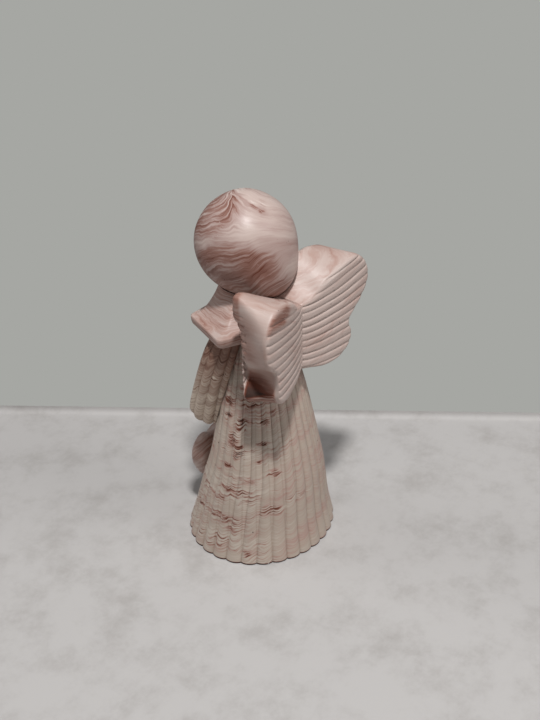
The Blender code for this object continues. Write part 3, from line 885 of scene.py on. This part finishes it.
def grooved_tree():
    """Carves slanting grooves into both faces of a wing, and notches low in its front edge."""
    tree, ask, end = node_tree("grooved wing", [*GROOVE_INPUTS, "Count"], True)
    blank = ask["Geometry"]
    x, y, z = blank.add("GeometryNodeInputPosition").scaled(1.0 / MM).split()
    facing = blank.add("GeometryNodeInputNormal")
    tilt = facing.split()[1]
    s = abs(x)
    hand = blank.grain(x, y, z, *CARVE_GRAIN) - 0.5
    sway = (blank.grain(x, y, z, *SWAY_GRAIN) - 0.5) * ask["Unevenness"]
    spine = blank.math("EXPONENT", s * SPINE_FADE) * ask["Spine rise"]
    height = z - ask["Lowest"] - s * ask["Rise"] - spine + hand * CARVE_SHAKE + sway
    count = height / (ask["Pitch"] + s * ask["Fan"])
    ridge = abs(blank.math("SINE", count * math.pi))
    bite = blank.grain(x, y, count, *BITE_GRAIN).step(0.25, 0.7) * 0.7 + 0.4
    groove = (1.0 - ridge) ** GROOVE_POWER
    inside = count.step(*GROOVE_FIRST) * (ask["Count"] - count).step(0.0, 0.5)
    turned = tilt + z.step(*NOTCH_BELOW) * 0.5 + behind_front(s, y).step(*NOTCH_REACH) * 0.6
    flat = tilt.step(*BACK_FACING) + turned.step(*FRONT_FACING) * 1.4
    cut = groove * inside * flat * bite
    offset = facing.scaled(cut * ask["Depth"] * -MM)
    shaped = blank.add("GeometryNodeSetPosition", None, {"Geometry": blank, "Offset": offset})
    finished(shaped, "groove", cut, ask["Material"], end)
    return tree


LAYER_TILT = 0.45
BAND_FROM = (14.0, 18.0)
ROSY_FROM = (60.0, 64.0)
ROSY_TO = (77.0, 71.0)
HOLLOW_SHADE_TOP = (4.6, 3.0)
HOLLOW_SHADE_FOOT = (-4.0, -3.0)
LIP_UNDER = (-2.8, -3.8)
LIP_TOP = -3.0
LIP_LINES = 1.2
STAIN_Z = 74.2
STAIN_HALF = (3.4, 0.6)
SHADE_FROM = (62.0, 66.0)
CREST_FROM = (67.0, 68.6)
HOLLOW_SHADE_LEAN = 0.35


def wing_layers(start, x, y, z):
    """Tilted layers; the outer band is rosy, darker towards its front as painted shade and with painted shade
    along its upper front edge; its hollow is painted dark as painted shade, and the lip below it is full of
    lines.
    """
    s = abs(x)
    inward = s * (s * WING_BACK[2] + WING_BACK[1]) + WING_BACK[0] - y
    front_in = behind_front(s, y)
    forward = inward - front_in
    edge = inward.step(0.2, 0.9) * front_in.step(0.2, 1.4)
    band = s.step(*BAND_FROM) * edge
    # The band is rose-tinted, and it is painted darker towards its front edge as painted shade across its
    # curve.
    rosy_and_shaded = band * z.step(*ROSY_FROM) * z.step(*ROSY_TO) * (forward.step(-5.0, 5.0) * 0.1 + 0.06)
    over = z - POCKET_Z + forward * (0.5 * POCKET_TILT / WING_THICK)
    hollow_shade = over.step(*HOLLOW_SHADE_TOP) * over.step(*HOLLOW_SHADE_FOOT) * s.step(13.0, 15.0)
    hollow_shade = hollow_shade * inward.step(0.8, 2.2) * edge
    lip = over.step(*LIP_UNDER) * inward.step(1.0, 2.0) * s.step(9.0, 13.0) * edge
    stain = x.step(9.0, 13.0) * abs(z - STAIN_Z).step(*STAIN_HALF) * inward.step(0.9, 0.2)
    shade = front_in.step(1.4, 0.2) * z.step(*SHADE_FROM) * s.step(13.0, 16.0)
    level = z - s * LAYER_TILT
    crest = level.step(*CREST_FROM) * edge
    layer = level + lip * (over - LIP_TOP) * LIP_LINES
    # The hollow is painted darker, most of all low at its front, as painted shade in the recess.
    lean = forward * HOLLOW_SHADE_LEAN - over
    deep = lean.step(-2.5, 3.0) * 0.26 + lean.step(1.6, 4.0) * 0.38 + 0.08
    bias = rosy_and_shaded + hollow_shade * deep + lip * 0.22 + crest * 0.06 + shade * 0.18 + stain * 0.2
    return layer, bias, lip * 1.9 - band * 0.3 + crest * 0.2 + 0.6


WING_BLOTS = {
    "left": (
        ((14.0, 17.3, 73.6), (5.0, 3.0, 2.4), 1.4), ((10.6, 15.0, 75.4), (3.2, 3.0, 1.4), 2.4),
    ),
    "right": (((-3.9, 14.6, 72.6), (1.0, 2.0, 0.8), 3.0),),
}
carving = grooved_tree()
cores = (gown_core(), head_core())
for prefix, side in SIDES:
    front_line = WING_FRONT_TOP[prefix] + WING_FRONT_REST
    wing = wing_blank(prefix + "_grooved_wing", side, WING_BACK_LINE[prefix], front_line, cores)
    stone = marbled(
        "marbled " + prefix + " wing", wing_layers, BLUSH, broad=0.2, rough=0.43,
        blots=WING_BLOTS[prefix], crease="groove", grime_and_shade=0.2,
    )
    grown(wing, carving, dict(GROOVE_INPUTS, Count=GROOVE_COUNT[prefix]), stone)
    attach(wing, "root")
    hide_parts(prefix + "_wing")
for core in cores:
    bpy.data.objects.remove(core, do_unlink=True)

# Sleeves: drooping ribbed sleeves that hang from under the collar and end in closed cuffs.
# They are cast in a greyer paste whose stacked layers dip over every rib.
# Each lies against the gown's side on a short peg.
SLEEVE_RIBS = 9
# Centre, radius and tilt in degrees.
SLEEVE_RINGS = (
    ((9.3, -2.6, 60.3), 4.2, 0.0),
    ((9.8, -4.3, 55.5), 4.4, -10.0),
    ((9.5, -6.4, 50.0), 4.5, -18.0),
    ((8.7, -8.6, 44.0), 4.7, -22.0),
    ((7.7, -10.6, 38.5), 4.9, -24.0),
    ((7.1, -11.6, 35.2), 4.9, -26.0),
    ((6.9, -11.9, 34.2), 4.1, -26.0),
)
SLEEVE_RIB_DEPTH = 0.55
SLEEVE_GROOVE = 0.06
SLEEVE_AROUND = 252
SLEEVE_STEPS = 16
NEAR_AXIS = 1e-6
SLEEVE_PATCH = 0.16
SLEEVE_DIP = 0.9
SLEEVE_WAVER = 4.0
SLEEVE_STIR = 1.6


def pressed(point, clear):
    """Moves a point that is inside the gown straight out to the gown's surface."""
    radius, shift = gown_at(point.z)
    flat = Vector((point.x, point.y - shift))
    angle = math.atan2(flat.y, flat.x)
    least = radius * (1.0 + GOWN_OVAL * math.cos(2.0 * angle)) + clear
    if NEAR_AXIS < flat.length < least:
        flat = flat * (least / flat.length)
    return Vector((flat.x, flat.y + shift, point.z))


def sleeve_layers(start, x, y, z):
    """Layers that dip over every rib and waver; darker at the shoulder, partly browner paste and partly
    painted shade under the collar, and a little darker at the cuff.
    """
    spot = start.join(x, y, z)
    patch = start.cloud(spot, SLEEVE_PATCH)
    stir = start.cloud(spot, CHANCE_SCALE, 1.0)
    layer = z - mark_of(start, "flute") * SLEEVE_DIP
    layer = layer + (patch - 0.5) * SLEEVE_WAVER + (stir - 0.5) * SLEEVE_STIR
    busy = patch.step(0.35, 0.6) * 0.6 + z.step(56.0, 44.0) * 0.8 + 0.5
    # The shoulder term is partly browner paste and partly painted shade under the collar; the cuff term
    # darkens the cuff a little.
    return layer, z.step(40.0, 58.0) * 0.34 + z.step(39.0, 35.0) * 0.08, busy


SLEEVE_BLOTS = (
    ((13.3, -4.3, 50.0), (1.5, 1.7, 0.9), 3.0), ((12.2, -2.6, 50.9), (1.4, 1.4, 0.8), 4.0),
    ((11.0, -7.4, 36.4), (2.0, 2.0, 0.8), 2.5),
)
DRAB = (paint(202, 186, 170), paint(174, 154, 139))
EARTH = (paint(158, 132, 117), paint(128, 96, 81), paint(90, 56, 43))
sleeve_stone = marbled(
    "marbled sleeve", sleeve_layers, DRAB, EARTH, level=-0.1, fine=0.9, pace=1.8, rough=0.5,
    blots=SLEEVE_BLOTS, crease="flute", grime_and_shade=0.2,
)
centres = flowing([ring[0] for ring in SLEEVE_RINGS], SLEEVE_STEPS)
others = flowing([(ring[1], ring[2]) for ring in SLEEVE_RINGS], SLEEVE_STEPS)
for prefix, side in SIDES:
    rings = []
    marks = []
    for centre, (radius, tilt) in zip(centres, others):
        turn = Matrix.Rotation(math.radians(tilt), 3, "X")
        ring = []
        for angle in even_turns(SLEEVE_AROUND):
            flute = 1.0 - abs(math.cos(0.5 * SLEEVE_RIBS * angle))
            r = radius - SLEEVE_RIB_DEPTH * flute - SLEEVE_GROOVE * flute ** CREASE_POWER
            spot = centre + turn @ Vector((r * math.cos(angle), r * math.sin(angle), 0.0))
            spot = pressed(spot, FIT_GAP)
            ring.append(Vector((side * spot.x, spot.y, spot.z)))
            marks.append(flute)
        rings.append(ring)
    bm = bmesh.new()
    skin(bm, rings)
    sleeve = new_piece(prefix + "_drooping_sleeve", bm)
    flutes = sleeve.data.attributes.new("flute", "FLOAT", "POINT")
    for i, value in enumerate(marks):
        flutes.data[i].value = value
    sleeve.data.set_sharp_from_angle(angle=SHARP_EDGE)
    sleeve.data.materials.append(sleeve_stone)
    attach(sleeve, "root")
    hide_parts(prefix + "_sleeve")

# Hands: two raised hands, palm to palm in front of the gown, with shallow lines between the fingers.
# They are cast in the pale paste and left plain, as small as the figure allows.
# Each wrist is set into its cuff.
HAND_AROUND = 72
# Centre, half thickness and half width.
HAND_RINGS = (
    ((6.6, -11.6, 36.4), 1.7, 1.8),
    ((4.6, -13.4, 36.6), 1.7, 1.9),
    ((2.7, -14.9, 37.4), 1.6, 2.1),
    ((1.65, -15.5, 39.0), 1.45, 2.2),
    ((1.4, -15.4, 41.4), 1.2, 2.0),
    ((1.1, -15.1, 43.6), 0.9, 1.6),
    ((0.75, -14.9, 44.8), 0.5, 0.8),
)
HAND_STEPS = 12
FINGERS = 4
FINGER_GROOVE = 0.16
FINGER_FROM_Z = 40.2
FINGER_EASE = 1.5
FINGER_SHARPNESS = 12
FINGER_SPREAD = 0.9


def hand_layers(start, x, y, z):
    return z, 0.0, 0.8


hand_stone = marbled("marbled hand", hand_layers, BLUSH, level=0.02)
centres = flowing([ring[0] for ring in HAND_RINGS], HAND_STEPS)
sizes = flowing([(ring[1], ring[2]) for ring in HAND_RINGS], HAND_STEPS)
for prefix, side in SIDES:
    rings = []
    for n, (centre, (thick, wide)) in enumerate(zip(centres, sizes)):
        along = (centres[min(n + 1, len(centres) - 1)] - centres[max(n - 1, 0)]).normalized()
        across = (Vector((0.0, 1.0, 0.0)) - along * along.y).normalized()
        through = across.cross(along)
        ring = []
        for angle in even_turns(HAND_AROUND):
            share = math.sin(angle)
            line = math.cos(math.pi * FINGERS * (share + 1.0) / 2.0) ** FINGER_SHARPNESS
            deep = FINGER_GROOVE * line * share_of((centre.z - FINGER_FROM_Z) / FINGER_EASE)
            deep *= 1.0 if abs(share) < FINGER_SPREAD else 0.0
            spot = centre + through * (thick - deep) * math.cos(angle) + across * wide * share
            ring.append(Vector((side * spot.x, spot.y, spot.z)))
        rings.append(ring)
    bm = bmesh.new()
    skin(bm, rings)
    hand = new_piece(prefix + "_praying_hand", bm)
    hand.data.materials.append(hand_stone)
    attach(hand, "root")
    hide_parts(prefix + "_hand")

# Heart: a plump little heart set low on the front of the gown.
# It is cast in the rosiest paste with slanting streaks, and its edge is rounded like a pillow.
# It lies against the flutes on a short peg.
HEART_LINE = (
    (0.0, 5.0), (1.1, 6.6), (3.0, 7.9), (5.1, 7.6), (6.6, 5.8), (7.1, 3.2), (6.6, 0.0), (5.1, -3.4),
    (2.8, -6.8), (0.9, -8.8), (0.0, -9.2),
)
HEART_CENTRE = Vector((0.0, -16.8, 16.3))
HEART_LEAN = 15.0
HEART_THICK = 3.1
HEART_PILLOW = 0.42
HEART_STEPS = 8
HEART_ROWS = 28
HEART_TURN = 0.96
HEART_SLANT = 0.9


def heart_layers(start, x, y, z):
    return z - y * HEART_SLANT, 0.0, 1.0


half = flowing(HEART_LINE, HEART_STEPS)
loop = half + [Vector((-p.x, p.y)) for p in reversed(half[1:-1])]
lean = Matrix.Rotation(math.radians(-HEART_LEAN), 3, "X")
rings = []
for row in range(HEART_ROWS + 1):
    angle = math.pi * (row / HEART_ROWS - 0.5) * HEART_TURN
    depth = HEART_THICK * math.sin(angle)
    scale = math.cos(angle) ** HEART_PILLOW
    ring = [HEART_CENTRE + lean @ Vector((p.x * scale, depth, p.y * scale)) for p in loop]
    rings.append([pressed(spot, FIT_GAP) for spot in ring])
bm = bmesh.new()
skin(bm, rings)
heart = new_piece("keepsake_heart", bm)
heart.data.materials.append(marbled("marbled heart", heart_layers, BLUSH, level=0.1, fine=0.7))
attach(heart, "root")
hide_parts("heart")

# Pegs: plain turned dowels that hold the pieces together, hidden once it is assembled.
# They are pale beech with a fine upright grain.
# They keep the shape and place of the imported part.
PEGS = (
    "neck_peg", "left_wing_peg", "right_wing_peg", "left_sleeve_peg", "right_sleeve_peg", "heart_peg",
)
BEECH = paint(205, 168, 122)
BEECH_DARK = paint(160, 116, 76)
BEECH_FIBRES = (2600.0, 2600.0, 220.0)
BEECH_ROUGH = 0.55


def beech():
    """Pale wood with a fine upright grain."""
    material, shader, start, place = undercoat("beech dowel")
    fibres = start.add("ShaderNodeVectorMath", {"operation": "MULTIPLY"}, {0: place, 1: BEECH_FIBRES})
    grain = start.cloud(fibres, 1.0, 3.0, 0.6)
    start.mix(grain.step(0.35, 0.7), BEECH, BEECH_DARK).into(shader["Base Color"])
    (BEECH_ROUGH + grain * 0.15).into(shader["Roughness"])
    return material


dowel = beech()
for name in PEGS:
    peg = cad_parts[name]
    peg.data.materials.clear()
    peg.data.materials.append(dowel)

# Stage: a pale whitewashed table under soft light, seen from behind the angel's left side.
# The table ends a little way behind the figure, in front of a plain grey room.
# The lamps are a soft key high above the camera and wide fills to its right and in front of the angel.
CAMERA_AZIMUTH = math.radians(124.0)
CAMERA_PITCH = math.radians(30.0)
CAMERA_ROLL = math.radians(-1.0)
CAMERA_OFFSET = (-2.21, -43.34, 299.8)
CAMERA_LENS = 54.1
TABLE_BACK = 52.0
TABLE_TURN = math.radians(-3.3)
TABLE_SIDE = 1200.0
TABLE_THICK = 18.0
TABLE_EDGE = 2.0
TABLE_EDGE_STEPS = 6
WHITEWASH_SCALE = 60.0
WHITEWASH_ROUGH = 0.6
WHITEWASH = paint(184, 181, 179)
WHITEWASH_WORN = paint(166, 162, 159)
ROOM = paint(166, 167, 163)
ROOM_LIGHT = 0.14
# Name, compass angle, height angle, distance, size and power.
LAMPS = (
    ("key", 131.0, 68.0, 700.0, 60.0, 4.0), ("right fill", 190.0, 42.0, 600.0, 260.0, 0.75),
    ("front fill", 20.0, 35.0, 600.0, 300.0, 0.6),
)


def toward(azimuth, height, away):
    """A place around the figure, in metres, from its compass angle, its height angle and its distance."""
    flat = math.cos(math.radians(height))
    turn = math.radians(azimuth)
    way = Vector((math.sin(turn) * flat, -math.cos(turn) * flat, math.sin(math.radians(height))))
    return way * away * MM


def whitewashed():
    """Thin white paint, worn in patches."""
    material, shader, start, place = undercoat("whitewashed table")
    worn = start.cloud(place, WHITEWASH_SCALE, 6.0, 0.7)
    start.mix(worn.step(0.42, 0.75), WHITEWASH, WHITEWASH_WORN).into(shader["Base Color"])
    (WHITEWASH_ROUGH + worn * 0.2).into(shader["Roughness"])
    return material


forward = Vector((-math.sin(CAMERA_AZIMUTH), math.cos(CAMERA_AZIMUTH), 0.0))
right = Vector((math.cos(CAMERA_AZIMUTH), math.sin(CAMERA_AZIMUTH), 0.0))
edge_out = forward * math.cos(TABLE_TURN) - right * math.sin(TABLE_TURN)
edge_along = right * math.cos(TABLE_TURN) + forward * math.sin(TABLE_TURN)
bm = bmesh.new()
bmesh.ops.create_cube(bm, size=1.0)
for vert in bm.verts:
    ahead = TABLE_BACK if vert.co.y > 0.0 else TABLE_BACK - TABLE_SIDE
    spot = edge_out * ahead + edge_along * vert.co.x * TABLE_SIDE
    vert.co = (spot.x, spot.y, (vert.co.z - 0.5) * TABLE_THICK)
bmesh.ops.bevel(
    bm, geom=bm.edges[:], offset=TABLE_EDGE, segments=TABLE_EDGE_STEPS, affect="EDGES", profile=0.5,
)
table = new_piece("table", bm)
table.data.set_sharp_from_angle(angle=SHARP_EDGE)
table.data.materials.append(whitewashed())

world = bpy.data.worlds.new("grey room")
world.use_nodes = True
bpy.context.scene.world = world
sky = Flow(world.node_tree)
seen = sky.add("ShaderNodeLightPath", None, None, "Is Camera Ray")
room = sky.mix(seen, (ROOM_LIGHT, ROOM_LIGHT, ROOM_LIGHT, 1.0), ROOM)
room.into(world.node_tree.nodes["Background"].inputs["Color"])

for name, azimuth, height, away, size, power in LAMPS:
    lamp = bpy.data.lights.new(name, "AREA")
    lamp.shape = "DISK"
    lamp.size = size * MM
    lamp.energy = power
    lit = placed(name, lamp)
    lit.location = toward(azimuth, height, away) + Vector((0.0, 0.0, 0.5 * GOWN_HEIGHT * MM))
    lit.rotation_euler = (-toward(azimuth, height, 1.0)).to_track_quat("-Z", "Y").to_euler()

ahead = forward * math.cos(CAMERA_PITCH) - Vector((0.0, 0.0, math.sin(CAMERA_PITCH)))
upward = forward * math.sin(CAMERA_PITCH) + Vector((0.0, 0.0, math.cos(CAMERA_PITCH)))
across = right * math.cos(CAMERA_ROLL) + upward * math.sin(CAMERA_ROLL)
upright = upward * math.cos(CAMERA_ROLL) - right * math.sin(CAMERA_ROLL)
lens = bpy.data.cameras.new("photo_camera")
lens.lens = CAMERA_LENS
camera = placed("photo_camera", lens)
spot = -(across * CAMERA_OFFSET[0] + upright * CAMERA_OFFSET[1] + ahead * CAMERA_OFFSET[2]) * MM
turn = Matrix((across, upright, -ahead)).transposed().to_4x4()
camera.matrix_world = Matrix.Translation(spot) @ turn
bpy.context.scene.camera = camera
bpy.context.scene.view_settings.view_transform = "Standard"
